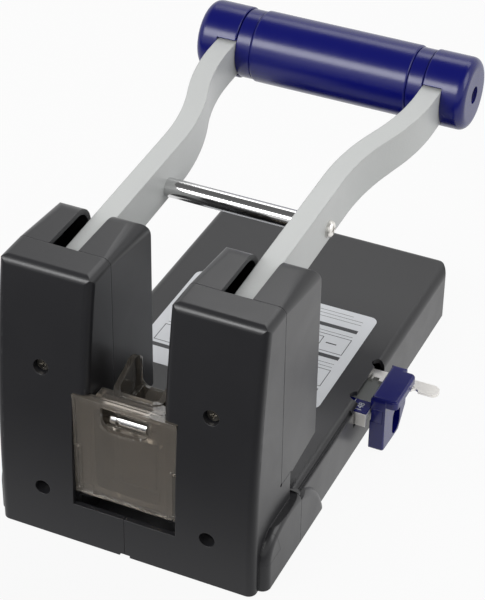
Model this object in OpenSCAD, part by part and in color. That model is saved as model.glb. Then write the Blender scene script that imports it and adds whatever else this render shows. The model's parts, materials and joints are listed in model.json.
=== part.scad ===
// Heavy duty two-hole punch with twin towers, a long lever and a pull-out paper guide.
// Every piece is drawn with Y measured from the rear face; seat() then moves it so that
// the origin is on the desk, midway between the two punch pins. +Z is up, +Y is the user's end.

/* [Punching] */
// Distance between the two punched holes
hole_spacing = 80; // [79:0.5:81]
// Diameter of a punch pin
pin_d = 6; // [5:0.5:6.5]
// Distance of the punch pins from the rear face
punch_line = 52; // [51.5:0.5:52.5]
// Distance of the paper stop from the rear face
stop_y = 40; // [39.8:0.1:40.4]
// Height of the throat over the platform
throat_h = 13.2; // [12.6:0.1:13.4]
// Swing of the lever in degrees
lever_swing = 21.5; // [20:0.1:21.6]

/* [Base] */
// Width of the base at its foot
base_w = 131; // [130:0.5:134]
// Depth of the base from the rear face
base_d = 243.7; // [240:0.1:250]
// Height of the platform
platform_z = 29.3; // [29.2:0.1:29.6]
// Radius of the far corners
far_corner_r = 15; // [8:1:20]
// Height of the rubber strips under the base
foot_h = 2; // [1.8:0.1:2]

/* [Towers] */
// Height of the towers
tower_h = 138.7; // [138:0.1:141]
// Distance of a tower's inner side from the centre
tower_in = 18; // [17.8:0.1:18.4]
// Distance of a tower's outer side from the centre
tower_out = 62.8; // [62.6:0.1:63.4]
// Distance of a tower's front from the rear face
tower_front = 65.5; // [65.4:0.1:67]
// Radius of the bow of the rear faces
bow_r = 620; // [600:10:700]
// Wall of the mouldings
wall = 2.6; // [2.4:0.1:2.7]
// Width of the slot for an arm
slot_w = 14.2; // [13:0.1:14.4]
// Distance of the seam between cover and housing from the rear face
seam_y = 28; // [27:0.5:29]

/* [Lever] */
// Thickness of an arm
arm_w = 10; // [9:0.5:10]
// Outward offset of the arms' swan neck
splay = 14; // [12:0.5:14]
// Distance of the grip's axis from the rear face
grip_y = 235.9; // [230:0.1:240]
// Height of the grip's axis
grip_z = 132.6; // [131:0.1:134]
// Diameter of the grip
grip_d = 36; // [34:0.5:37]
// Length of the handle over its end caps
handle_l = 141.2; // [140:0.2:144]
// Diameter of the crossbar
bar_d = 9.2; // [8:0.1:10]

/* [Guide and storage] */
// Distance of the guide's stop face from the centre
guide_stop_x = 70; // [69:0.5:72]
// Reach of the guide's notched strip from the centre
guide_reach = 95; // [92:0.5:98]
// Width of the storage door
door_w = 50; // [49:0.2:50]
// Height of the top of the storage door
door_top = 82.7; // [82:0.1:83]

/* [Hidden] */
$fn = 64;

// Fits and small gaps
run_gap = 0.05;
seam_gap = 0.2;
big = 400;

// Heights and places of the mechanism
pin_x = hole_spacing / 2;
skirt_z = 0.8;
split_z = 44;
bow_z = 22;
pivot = [16.5, 98];
drive_angle = lever_swing / 2;
drive_y = 39;
drive_r = drive_y / cos(drive_angle);
drive_rise = drive_y * tan(drive_angle);
drive_d = 8;
shaft_d = 8;
guide_z = platform_z + throat_h;
guide_top = guide_z + 15.5;
ram_z = 88;
ram_h = 9;
bottom_t = 1.2;
plate_top = foot_h + bottom_t;
plate_t = 2.5;
plate_in = 26;
plate_out = 51.5;

// Radii of the towers' edges
edge_r = 3.8;
front_r = 11.5;
rear_r = 4;
bow_c = [bow_r, bow_z];

// Moves a piece from the rear face's frame to the part's own frame
module seat() {
    translate([0, -punch_line, 0]) children();
}

// Draws the right-hand piece on the left
module left() {
    mirror([1, 0, 0]) children();
}

// Extrudes a profile drawn in depth and height across the width
module across(x0, x1) {
    translate([x0, 0, 0]) rotate([90, 0, 90]) linear_extrude(x1 - x0) children();
}

// Extrudes a profile drawn in width and height along the depth
module along(y0, y1) {
    translate([0, y1, 0]) rotate([90, 0, 0]) linear_extrude(y1 - y0) children();
}

// Box between two corners
module block(p, q) {
    translate(p) cube(q - p);
}

// Rectangle between two corners
module rect(p, q) {
    translate(p) square(q - p);
}

// Piece that rounds off the corner c, which points in the direction s
module corner_cut(c, s, r) {
    translate([c[0] - s[0] * r, c[1] - s[1] * r]) difference() {
        translate([s[0] > 0 ? 0 : -r - 1, s[1] > 0 ? 0 : -r - 1]) square(r + 1);
        circle(r);
    }
}

// Rectangle with one radius for each corner, from the lower left counterclockwise
module round_rect(p, q, r) {
    difference() {
        rect(p, q);
        if (r[0] > 0) corner_cut(p, [-1, -1], r[0]);
        if (r[1] > 0) corner_cut([q[0], p[1]], [1, -1], r[1]);
        if (r[2] > 0) corner_cut(q, [1, 1], r[2]);
        if (r[3] > 0) corner_cut([p[0], q[1]], [-1, 1], r[3]);
    }
}

// Slot with round ends along the first axis
module stadium(p, length, r) {
    translate(p) {
        circle(r);
        translate([length, 0]) circle(r);
        translate([0, -r]) square([length, 2 * r]);
    }
}

// Cylinder across the width
module rod_x(x0, x1, y, z, r) {
    translate([x0, y, z]) rotate([0, 90, 0]) cylinder(h = x1 - x0, r = r);
}

// Cylinder along the depth
module rod_y(y0, y1, x, z, r) {
    translate([x, y1, z]) rotate([90, 0, 0]) cylinder(h = y1 - y0, r = r);
}

// Towers

// Section of a tower in plan, drawn in depth and width, t inside the outer skin
module tower_plan(t) {
    round_rect([t, tower_in + t], [tower_front + 20, tower_out - t], [edge_r - t, 0, 0, edge_r - t]);
}

// Tower seen from the rear, with its two rounded upper edges
module tower_front_view(t) {
    round_rect([tower_in + t, -big], [tower_out - t, tower_h - t], [0, 0, edge_r - t, edge_r - t]);
}

// Tower seen from the side: a round front, and a small radius that meets the bowed rear
module tower_side_view(t) {
    reach = bow_r - rear_r;
    drop = tower_h - rear_r - bow_z;
    c = [bow_r - sqrt(reach * reach - drop * drop), tower_h - rear_r];
    out = [-(bow_r - c[0]), drop] / reach;
    difference() {
        round_rect([-10, -10], [tower_front - t, tower_h - t], [0, 0, front_r - t, 0]);
        polygon([c, c + out * (rear_r + 6), [-20, tower_h + 20], [c[0], tower_h + 20]]);
    }
    translate(c) circle(rear_r - t);
}

// Whole tower: the plan runs straight up and then round the bow of the rear face
module tower_form(t) {
    bow_angle = 12;
    intersection() {
        union() {
            translate([0, 0, -big / 2]) linear_extrude(big / 2 + bow_z)
                mirror([1, -1]) tower_plan(t);
            translate([0, bow_c[0], bow_c[1]]) rotate([90, 0, 90])
                rotate([0, 0, 180 - bow_angle]) rotate_extrude(angle = bow_angle, $fn = 180)
                    translate([bow_r, 0]) mirror([1, 0]) tower_plan(t);
        }
        along(-20, tower_front + 20) tower_front_view(t);
        across(0, tower_out + 10) tower_side_view(t);
    }
}

// Side view of the rear cover: it ends at the seam, and at the throat below
cover_far = stop_y - 1.9;

module cover_side() {
    rect([-10, skirt_z], [seam_y - seam_gap / 2, tower_h + 10]);
    rect([-10, skirt_z], [cover_far, split_z]);
}

// Flare over the side of the base, with a rolled outer edge
flare_x = 67;
flare_roll = 4;
flare_c = [30, -11.3];
flare_r = 42.8;
flare_y = 5.5;
flare_small = 14;
flare_seam = 42;

// Round boss with a rolled outer edge, to which the flare is cut, t inside the flare's skin
module flare_boss(c, r, t) {
    translate([0, c[0], c[1]]) rotate([90, 0, 90]) rotate_extrude()
        round_rect([0, tower_out - 4], [r - t, flare_x - t], [0, 0, flare_roll, 0]);
}

// Arch over the side: a long arc, a tighter one at its rear, and a straight rear edge.
// The tighter arc lies a hair inside, so that the three lengths join in clean steps.
module flare() {
    hair = 0.04;
    gap = flare_r - flare_small;
    side = flare_y + flare_small - flare_c[0];
    c = [flare_y + flare_small, flare_c[1] + sqrt(gap * gap - side * side)];
    out = [side, c[1] - flare_c[1]] / gap;
    intersection() {
        flare_boss(flare_c, flare_r, 0);
        across(0, big) polygon([[c[0], skirt_z], c, c + out * 60, [140, 80], [140, skirt_z]]);
    }
    intersection() {
        flare_boss(c, flare_small, hair);
        across(0, big) polygon([c, c + out * 60, [-40, c[1] + 20], [-40, c[1]]]);
    }
    translate([0, 0, skirt_z]) linear_extrude(c[1] - skirt_z) mirror([1, -1])
        round_rect([flare_y, tower_out - 4], [c[0], flare_x], [0, 0, 0, flare_roll]);
}

// Recess for the storage door, and the screws
recess_x = door_w / 2 + 0.1;
recess_z = [22.5, door_top + 0.3];
recess_d = 6.8;
screw_x = 40.4;
screw_z = [26.5, 91.2];
screw_well_r = 3.75;
screw_well_y = 7.6;
web_y = 9.2;
web_t = 1.8;
recess_frame = 2.4;

module cover() {
    difference() {
        union() {
            difference() {
                union() {
                    intersection() {
                        tower_form(0);
                        across(0, big) cover_side();
                    }
                    block([seam_gap / 2, 0, skirt_z], [tower_in + 6, seam_y - seam_gap / 2, recess_z[0]]);
                    intersection() {
                        flare();
                        block([0, 0, 0], [big, flare_seam - seam_gap / 2, platform_z - 0.1]);
                    }
                }
                tower_form(wall);
                block([-1, wall, -1], [tower_out - wall, big, recess_z[0] + 1]);
            }
            block([tower_in + 1, 4, recess_z[0] + 0.5],
                [recess_x + recess_frame, recess_d + 2, recess_z[1] + recess_frame]);
            for (z = screw_z) rod_y(1.2 + pow(max(z - bow_z, 0), 2) / (2 * bow_r), web_y - 0.1,
                screw_x, z, screw_well_r + 1.8);
        }
        block([-1, -1, recess_z[0]], [recess_x, recess_d, recess_z[1]]);
        for (z = screw_z) {
            rod_y(-1, screw_well_y, screw_x, z, screw_well_r);
            rod_y(-1, web_y + 1, screw_x, z, 1.6);
        }
        across(-1, big) rect([cover_far, platform_z - 0.1], [big, big]);
        across(-1, 2.5) polygon([[-1, -1], [-1, 3], [3, -1]]);
        seam_dimple();
    }
}

// Small round notch where the seam turns forwards
module seam_dimple() {
    rod_x(tower_out - 0.7, big, seam_y, split_z + seam_gap / 2, 0.9);
}

module cover_screw(z) {
    head_h = 1.4;
    difference() {
        union() {
            rod_y(screw_well_y - head_h, screw_well_y, screw_x, z, 3);
            rod_y(screw_well_y - 0.1, web_y + web_t, screw_x, z, 1.5);
        }
        for (a = [0, 90]) translate([screw_x, screw_well_y - head_h, z]) rotate([0, a, 0])
            cube([3.4, head_h, 0.7], center = true);
    }
}

// Front housing with the slot for the arm and the window for the punch guide
slot_foot = 88;

module underside() {
    polygon([[seam_y + seam_gap / 2, split_z + 0.2], [38.5, split_z + 0.2], [40, 43],
        [tower_front - 1.5, 46.3], [tower_front + 10, 47], [tower_front + 10, tower_h + 10],
        [seam_y + seam_gap / 2, tower_h + 10]]);
}

module underside_inner() {
    polygon([[0, split_z + wall], [38, split_z + wall], [40, 43 + wall + 1],
        [tower_front, 46.3 + wall], [tower_front, big], [0, big]]);
}

module housing() {
    slot_in = pin_x + 0.5 - slot_w / 2;
    difference() {
        intersection() {
            tower_form(0);
            across(0, big) underside();
        }
        intersection() {
            tower_form(wall);
            across(0, big) underside_inner();
        }
        block([slot_in, seam_y - 5, slot_foot], [slot_in + slot_w, big, big]);
        block([plate_in - 0.4, 0, 0], [plate_out + plate_t + 0.4, 62.4, split_z + 8]);
        seam_dimple();
    }
}

// Steel frames

frame_far = 38;
jaw_far = 61.5;
frame_eye_r = 7.2;

module frame_side() {
    difference() {
        union() {
            rect([web_y, plate_top], [frame_far, pivot[1]]);
            translate(pivot) circle(frame_eye_r);
            round_rect([pivot[0], pivot[1] - 20], [frame_far, pivot[1] + frame_eye_r], [0, 0, 6, 0]);
            round_rect([20, 47], [jaw_far, 82], [0, 0, 8, 0]);
            round_rect([20, 14], [jaw_far, 26.5], [0, 3, 0, 0]);
        }
        translate(pivot) circle(shaft_d / 2);
    }
}

module frame() {
    for (x = [plate_in, plate_out]) across(x, x + plate_t) frame_side();
    difference() {
        block([plate_in + plate_t, web_y, 6], [plate_out, web_y + web_t, 92.6]);
        for (z = screw_z) rod_y(0, 20, screw_x, z, 1.5);
    }
}

module lever_shaft() {
    rod_x(plate_in - 1, plate_out + plate_t + 1, pivot[0], pivot[1], shaft_d / 2);
    for (x = [plate_in - 1.8, plate_out + plate_t + 0.2])
        rod_x(x, x + 1.6, pivot[0], pivot[1], shaft_d / 2 + 1.2);
}

// Guide block and die fill the space between the two plates of a frame
tool_x = [plate_in + plate_t + 0.02, plate_out - 0.02];
tool_y = [43.4, 61.4];
die_r = 8;

module punch_guide() {
    difference() {
        union() {
            block([tool_x[0], tool_y[0], guide_z], [tool_x[1], tool_y[1], guide_top - 4]);
            translate([pin_x, punch_line, guide_top - 5]) cylinder(h = 5, r = 8.4);
        }
        translate([pin_x, punch_line, 0]) cylinder(h = big, r = pin_d / 2 + run_gap);
    }
}

module die() {
    difference() {
        union() {
            block([tool_x[0], tool_y[0], 14.2], [tool_x[1], tool_y[1], 26.4]);
            translate([pin_x, punch_line, 20]) cylinder(h = platform_z - 20, r = die_r);
        }
        translate([pin_x, punch_line, 24]) cylinder(h = big, r = pin_d / 2 + 0.08);
        translate([pin_x, punch_line, 0]) cylinder(h = 24.5, r = pin_d / 2 + 1);
    }
}

module paper_stop() {
    end_x = tower_out - 3;
    block([-end_x, stop_y - 1.6, platform_z], [end_x, stop_y, guide_z - 0.4]);
}

// Coil spring as one tube of six-sided rings
spring_r = 6.7;
wire_r = 0.8;
spring_turns = 6.5;
rings_per_turn = 8;
spring_z0 = guide_top + 0.1 + wire_r;
spring_z1 = ram_z - 0.1 - wire_r;

function coil_point(i, n) = let (a = 360 * spring_turns * i / n)
    [spring_r * cos(a), spring_r * sin(a), spring_z0 + (spring_z1 - spring_z0) * i / n];

function coil_ring(i, n) = let (
    a = 360 * spring_turns * i / n,
    c = coil_point(i, n),
    out = [cos(a), sin(a), 0])
    [for (k = [0:5]) c + wire_r * (cos(60 * k) * out + sin(60 * k) * [0, 0, 1])];

module coil() {
    n = ceil(spring_turns * rings_per_turn);
    points = [for (i = [0:n]) each coil_ring(i, n)];
    sides = [for (i = [0:n - 1]) for (k = [0:5]) let (a = 6 * i + k, b = 6 * i + (k + 1) % 6)
        each [[a, a + 6, b], [b, a + 6, b + 6]]];
    ends = [[for (k = [0:5]) k], [for (k = [0:5]) 6 * n + 5 - k]];
    echo(least_gap_between_turns = (spring_z1 - spring_z0) / spring_turns - 2 * wire_r);
    polyhedron(points, concat(sides, ends));
}

module spring() {
    translate([pin_x, punch_line, 0]) coil();
}

// Rams and punch pins
cheek_in = 30.5;
cheek_t = 3.9;
drive_rest = [pivot[0] + drive_y, pivot[1] + drive_rise];
drive_side = drive_r - drive_y;

module ram() {
    cheeks = [cheek_in, 2 * pin_x - cheek_in - cheek_t];
    difference() {
        union() {
            for (x = cheeks) across(x, x + cheek_t)
                round_rect([47, ram_z], [61.6, drive_rest[1] + 7], [0, 0, 5, 5]);
            block([cheek_in, 47, ram_z], [cheeks[1] + cheek_t, 61.6, ram_z + ram_h]);
        }
        across(0, big) stadium(drive_rest - [0.2, 0], drive_side + 0.4, drive_d / 2 + 0.1);
        translate([pin_x, punch_line, 0]) cylinder(h = big, r = pin_d / 2);
    }
}

module punch() {
    translate([pin_x, punch_line, guide_z + 0.3])
        cylinder(h = ram_z + ram_h - 0.2 - guide_z - 0.3, r = pin_d / 2);
}

// Lever

neck_y0 = 133;
neck_y1 = 213;
neck_half = (neck_y1 - neck_y0) / 2;
neck_r = (neck_half * neck_half + splay * splay / 4) / splay;
arm_x = pin_x;
arm_end_x = pin_x + splay;
arm_end_r = 10;

// Swan neck in plan: two equal arcs between two straight lengths
module neck_arc(c, y0, y1) {
    intersection() {
        translate(c) difference() {
            circle(neck_r + arm_w / 2, $fn = 256);
            circle(neck_r - arm_w / 2, $fn = 256);
        }
        rect([arm_x - arm_w, y0], [arm_end_x + arm_w, y1]);
    }
}

module arm_sweep() {
    half = arm_w / 2;
    linear_extrude(big / 2) rect([arm_x - half, 0], [arm_x + half, neck_y0]);
    linear_extrude(big / 2)
        neck_arc([arm_x + neck_r, neck_y0], neck_y0, neck_y0 + neck_half);
    linear_extrude(big / 2)
        neck_arc([arm_end_x - neck_r, neck_y1], neck_y0 + neck_half, neck_y1);
    linear_extrude(big / 2)
        rect([arm_end_x - half, neck_y1], [arm_end_x + half, grip_y + arm_end_r + 1]);
}

// Arm seen from the side: eye, lug for the drive pin, and the long tapering reach
eye_r = 7.5;
bush_r = 5;
lug_r = 6.3;

module arm_side() {
    across(0, big / 2) polygon([pivot, [9.4, 100.2], [21, 124], [28, 130.8], [219.5, 139.9],
        [grip_y, 140.6], [grip_y, 122.4], [222, 121.2], [176, 119.2], [135, 114.2], [66, 110.6],
        [drive_rest[0] + 5.6, drive_rest[1] - 2.6], drive_rest,
        [drive_rest[0] - 1.2, drive_rest[1] - lug_r + 0.1], [pivot[0] + 0.4, pivot[1] - eye_r]]);
    rod_x(0, big / 2, pivot[0], pivot[1], eye_r);
    rod_x(0, big / 2, drive_rest[0], drive_rest[1], lug_r);
    rod_x(0, big / 2, grip_y, grip_z, arm_end_r);
}

bar_y = 116.5;
bar_z = 119.5;
bar_screw_r = 2;

module arm() {
    difference() {
        intersection() {
            arm_sweep();
            arm_side();
        }
        rod_x(0, big, pivot[0], pivot[1], bush_r);
        rod_x(0, big, drive_rest[0], drive_rest[1], drive_d / 2);
        rod_x(0, big, grip_y, grip_z, rod_r);
        rod_x(0, big, bar_y, bar_z, bar_screw_r);
    }
}

module arm_bush() {
    difference() {
        rod_x(arm_x - arm_w / 2 - 1, arm_x + arm_w / 2 + 1, pivot[0], pivot[1], bush_r);
        rod_x(0, big, pivot[0], pivot[1], shaft_d / 2 + run_gap);
    }
}

module drive_pin() {
    rod_x(cheek_in - 0.6, 2 * pin_x - cheek_in + 0.6, drive_rest[0], drive_rest[1], drive_d / 2);
}

module crossbar() {
    end_x = arm_x - arm_w / 2;
    difference() {
        rod_x(-end_x, end_x, bar_y, bar_z, bar_d / 2);
        for (s = [-1, 1]) translate([s * end_x, bar_y, bar_z]) rotate([0, 90, 0])
            cylinder(h = 16, r = bar_screw_r, center = true);
    }
}

module crossbar_screw() {
    face = arm_x + arm_w / 2;
    difference() {
        union() {
            rod_x(face - arm_w - 7, face, bar_y, bar_z, bar_screw_r);
            translate([face, bar_y, bar_z]) rotate([0, 90, 0]) rotate_extrude()
                round_rect([0, 0], [3.9, 2.4], [0, 0, 1.8, 0]);
        }
        for (a = [0, 90]) translate([face + 2.2, bar_y, bar_z]) rotate([a, 0, 0])
            cube([2.2, 4.4, 0.9], center = true);
    }
}

// Handle
grip_x = 41;
ring_x = 49;
cap_x = 49.2;
rod_r = 4;
cap_roll = 4.5;

module grip_turn() {
    translate([0, grip_y, grip_z]) rotate([0, 90, 0]) rotate_extrude() children();
}

module grip() {
    grip_turn() difference() {
        round_rect([-1, -grip_x], [grip_d / 2, grip_x], [0, 1, 1, 0]);
        rect([-2, -big], [rod_r, big]);
    }
}

module grip_ring() {
    grip_turn() difference() {
        round_rect([-1, grip_x + 0.05], [grip_d / 2 - 0.7, ring_x - 0.05], [0, 0.6, 0.6, 0]);
        rect([-2, -big], [rod_r, big]);
    }
}

module cap() {
    end_x = handle_l / 2;
    difference() {
        grip_turn() difference() {
            round_rect([-1, cap_x], [grip_d / 2, end_x], [0, 0.6, cap_roll, 0]);
            rect([-2, -big], [rod_r, end_x - 5]);
            rect([-2, end_x - 4], [4.3, big]);
            rect([-2, 0], [1.7, big]);
        }
        across(cap_x - 1, arm_end_x + arm_w / 2 + 0.15) union() {
            rect([grip_y - 40, 120.6], [grip_y, 141.2]);
            translate([grip_y, grip_z]) circle(arm_end_r + 0.3);
        }
    }
}

module cap_screw() {
    end_x = handle_l / 2;
    difference() {
        union() {
            rod_x(end_x - 4, end_x - 2.2, grip_y, grip_z, 3.8);
            rod_x(end_x - 14, end_x - 4, grip_y, grip_z, 1.7);
        }
        translate([end_x - 3.2, grip_y, grip_z]) rotate([0, 90, 0]) cylinder(h = 3, r = 1.9, $fn = 6);
    }
}

module grip_rod() {
    end_x = handle_l / 2 - 5.2;
    difference() {
        rod_x(-end_x, end_x, grip_y, grip_z, rod_r - 0.01);
        for (s = [-1, 1]) translate([s * end_x, grip_y, grip_z]) rotate([0, 90, 0])
            cylinder(h = 20, r = 1.7, center = true);
    }
}

// Base

module base_outline(x, y0, r) {
    round_rect([-x, y0], [x, base_d], [0, 0, r, r]);
}

// Run of the paper guide, and the pit in which its knob is held
guide_y = [110.5, 146];
pit_y = [118, 146];
pit_x = 61.4;
guide_window = [[109, 17.2], [148, 26.8]];
base_wall = 3.4;

module base_shell() {
    top_r = 4.5;
    top_x = base_w / 2 - 0.8;
    difference() {
        union() {
            intersection() {
                linear_extrude(platform_z) base_outline(base_w / 2, stop_y - 1.6, far_corner_r);
                along(0, big) round_rect([-top_x, skirt_z], [top_x, platform_z], [0, 0, top_r, top_r]);
                across(-big, big) round_rect([0, skirt_z], [base_d, platform_z], [0, 0, top_r, 0]);
            }
            for (s = [0, 1]) mirror([s, 0, 0]) intersection() {
                flare();
                block([0, flare_seam + seam_gap / 2, 0], [big, big, platform_z + 5]);
            }
        }
        // Hollow underside
        translate([0, 0, -1]) linear_extrude(platform_z - wall + 1)
            round_rect([-base_w / 2 + base_wall, 0], [base_w / 2 - base_wall, base_d - 3], [0, 0, 12, 12]);
        // Clearance for the rear covers
        for (s = [0, 1]) mirror([s, 0, 0])
            block([tower_out - wall - 0.4, 0, 0], [big, flare_seam + seam_gap / 2, big]);
        // Dies
        for (s = [-1, 1]) translate([s * pin_x, punch_line, 0]) cylinder(h = big, r = die_r + 0.1);
        // Groove under the lip of the right side
        block([base_w / 2 - 2.4, stop_y, 26], [big, 108, 28.3]);
        // Opening for the paper guide, with its two half-round pits
        across(base_w / 2 - 12, big) rect(guide_window[0], guide_window[1]);
        block([pit_x, pit_y[0], 20], [big, pit_y[1], big]);
        for (y = pit_y) translate([pit_x + 0.8, y, 20]) cylinder(h = big, r = 3.2);
        // Mouth of the chip drawer
        block([-drawer_x - drawer_gap, base_d - 10, -1],
            [drawer_x + drawer_gap, base_d + 1, drawer_top + drawer_gap]);
    }
    // Rails that the paper guide slides in
    rail_top = platform_z - wall + 0.1;
    rail_gap = 0.2;
    rail_t = 1.6;
    near = [guide_y[0] - rail_gap - rail_t, 16.9];
    far = [guide_y[1] + rail_gap, 20.2];
    across(rail_x[0], rail_x[1]) {
        rect(near, [near[0] + rail_t, rail_top]);
        rect(near, near + [4.4, 1.4]);
        rect(far, [far[0] + rail_t, rail_top]);
        rect(far - [3.8, 0], far + [rail_t, 1.5]);
    }
    // Posts for the screws of the bottom plate
    for (p = base_screw_at) difference() {
        translate([p[0], p[1], plate_top]) cylinder(h = rail_top - plate_top, r = 3);
        translate([p[0], p[1], 0]) cylinder(h = 12, r = plate_screw_r);
    }
}

rail_x = [-30, 53];
base_screw_at = [for (x = [-55, 55]) for (y = [70, 150, 222]) [x, y]];
plate_screw_r = 1.3;

module base_screws() {
    head_h = 1.3;
    for (p = base_screw_at) translate([p[0], p[1], 0]) difference() {
        union() {
            translate([0, 0, foot_h - head_h]) cylinder(h = head_h, r = 2.8);
            translate([0, 0, foot_h - 0.1]) cylinder(h = 9, r = plate_screw_r);
        }
        for (a = [0, 90]) rotate(a) translate([-1.6, -0.35, 0]) cube([3.2, 0.7, head_h]);
    }
}

module bottom_plate() {
    difference() {
        translate([0, 0, foot_h]) linear_extrude(bottom_t)
            round_rect([-60, 4], [60, base_d - 4], [3, 3, 11, 11]);
        for (p = base_screw_at) translate([p[0], p[1], 0]) cylinder(h = 10, r = plate_screw_r + 0.02);
    }
}

strip_half = [50, 5];

module foot_strips() {
    r = strip_half[1] - 0.1;
    for (y = [10, punch_line, base_d - 14]) translate([0, y, 0])
        linear_extrude(foot_h) round_rect(-strip_half, strip_half, [r, r, r, r]);
}

drawer_x = 50;
drawer_top = 13;
drawer_z = 3.4;
drawer_y0 = 43;
drawer_gap = 0.4;

module chip_drawer() {
    t = 1.6;
    difference() {
        union() {
            block([-drawer_x, drawer_y0, drawer_z], [drawer_x, base_d - 3, drawer_top]);
            block([-drawer_x, base_d - 4, drawer_z], [drawer_x, base_d, drawer_top]);
        }
        block([-drawer_x + t, drawer_y0 + t, drawer_z + t], [drawer_x - t, base_d - 4, big]);
        translate([0, base_d + 6, -1]) cylinder(h = 20, r = 9.2);
    }
}

// Storage between the towers
door_y = 2.5;
door_t = 2;
door_foot = 28.5;
ear_x = 22.9;
ear_top = 54;
hinge = [3.6, 30.6];
hinge_r = 1.5;
notch_x = 11.4;
notch_z = [67.8, 80];
box_x = 17.2;
box_y = 7;
box_mid = 15.5;
box_far = 37.5;
box_floor = 30;
box_top = 80;
box_t = 1.8;
flange_y = 4.8;

// Spare punch pin, and the shelf that it lies on
pin_at = [10, 69.8];
spare_r = 2.8;
shelf_z = [64, 67.2];

// Cup behind the chamber: its side walls rise towards the far wall, which is cut low
cup_x = 12.4;
cup_t = 2.6;
cup_y = 13.2;
cup_top = 80.4;
cup_peak = [33, 86.5];
cup_low = 69;
cup_corner = 5;
far_cut_x = 8.6;
rib_x = [-9.4, -7.3];

module cup_side() {
    difference() {
        polygon([[cup_y, box_floor], [box_far, box_floor], [box_far, cup_peak[1]], cup_peak,
            [cup_y + 3, cup_top], [cup_y, cup_top]]);
        corner_cut([box_far, cup_peak[1]], [1, 1], 3.5);
    }
}

module cup() {
    inner_r = cup_corner - box_t;
    difference() {
        intersection() {
            across(-cup_x, cup_x) cup_side();
            linear_extrude(big) round_rect([-cup_x, cup_y], [cup_x, box_far],
                [cup_corner, cup_corner, cup_corner, cup_corner]);
        }
        translate([0, 0, box_floor + box_t]) linear_extrude(big)
            round_rect([-cup_x + cup_t, box_mid], [cup_x - cup_t, box_far - box_t],
                [inner_r, inner_r, inner_r, inner_r]);
        along(box_far - box_t - 1, big) round_rect([-far_cut_x, cup_low], [far_cut_x, big], [4, 4, 0, 0]);
    }
    // Rib that keeps a spare disc upright beside the wall
    block([rib_x[0], box_mid - 0.5, box_floor + 1], [rib_x[1], box_far - 0.5, cup_low + 1]);
}

module storage_box() {
    ear_w = door_w / 2 - ear_x;
    difference() {
        union() {
            block([-box_x, box_y, door_foot], [box_x, box_mid, box_top]);
            cup();
            // Flange that lies in the recess of the covers, with the ears that hold the hinge
            block([-door_w / 2, flange_y, door_foot], [door_w / 2, recess_d - run_gap, door_top - 0.4]);
            block([-box_x, flange_y, door_foot], [box_x, box_y + 1, box_top]);
            for (x = [-door_w / 2, ear_x])
                block([x, door_y, door_foot], [x + ear_w, flange_y + 0.7, ear_top]);
        }
        // Chamber behind the door
        along(0, cup_y - 0.1) round_rect([-box_x + box_t, box_floor + box_t],
            [box_x - box_t, box_top - 2.2], [2, 2, 2, 2]);
        // Room for the foot of the door as it opens, and its hinge holes
        block([-ear_x + 0.05, 4, 28], [ear_x - 0.05, 6.4, 33.4]);
        rod_x(-big, big, hinge[0], hinge[1], hinge_r + run_gap);
    }
    difference() {
        block([-box_x + 1, box_y + 1, shelf_z[0]], [box_x - 1, box_mid - 1, shelf_z[1]]);
        rod_x(-big, big, pin_at[0], pin_at[1], spare_r + 0.02);
    }
}

// Spare pin with the groove behind its head
module spare_pin() {
    groove_x = [-6.7, -5.1];
    rod_x(-9.5, groove_x[0], pin_at[0], pin_at[1], spare_r);
    rod_x(groove_x[0] - 0.1, groove_x[1] + 0.1, pin_at[0], pin_at[1], spare_r - 1);
    rod_x(groove_x[1], 8, pin_at[0], pin_at[1], spare_r);
}

module door_outline() {
    difference() {
        union() {
            round_rect([-ear_x + 0.2, door_foot], [ear_x - 0.2, door_top], [1, 1, 0, 0]);
            rect([-door_w / 2, ear_top + 0.2], [door_w / 2, door_top]);
        }
        round_rect([-notch_x, notch_z[0]], [notch_x, notch_z[1]], [5.5, 5.5, 1, 1]);
    }
}

module storage_door() {
    along(door_y, door_y + door_t) door_outline();
    // Raised rim along the top, and its lip over the finger notch
    block([-door_w / 2, door_y - 0.5, door_top - 1.6], [door_w / 2, door_y + 0.1, door_top]);
    block([-notch_x - 0.2, door_y - 0.9, door_top - 1.4], [notch_x + 0.2, door_y + 0.1, door_top + 0.3]);
    // Hinge pins
    for (s = [-1, 1]) translate([s * (ear_x + 0.4), hinge[0], hinge[1]]) rotate([0, 90, 0])
        cylinder(h = 2.6, r = hinge_r, center = true);
}

// Paper guide
bar_top = 25.4;
bar_t = 1.2;
carrier_x = -50;
strip_y = 138;
strip_notch_x = 84;
scale_y = [111.2, 120.6];
knob_t = 7.5;
knob_y = [116.5, 145];
knob_z = [1, 32];
knob_head_y = [117, 142.5];
knob_head_z = 27.5;
knob_head_w = 13;
finger_at = [133, 7];

module guide_bar() {
    translate([0, 0, bar_top - bar_t]) linear_extrude(bar_t) difference() {
        union() {
            rect([carrier_x, guide_y[0]], [guide_stop_x + 6, guide_y[1]]);
            round_rect([guide_stop_x, strip_y], [guide_reach, guide_y[1]], [0, 3, 4, 0]);
        }
        rect([-30, 121], [guide_stop_x, strip_y]);
        rect([guide_stop_x - 7.5, strip_y - 1], [guide_stop_x - 4.5, strip_y + 2]);
        translate([strip_notch_x, strip_y]) circle(1.6);
    }
    block([carrier_x, guide_y[0], 18.4], [guide_stop_x, guide_y[0] + bar_t, bar_top]);
}

module guide_carrier() {
    block([carrier_x, 112, 21.8], [guide_stop_x, 145, bar_top - bar_t]);
}

module guide_scale() {
    block([-20, scale_y[0], bar_top], [guide_stop_x, scale_y[1], bar_top + 0.3]);
}

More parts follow.
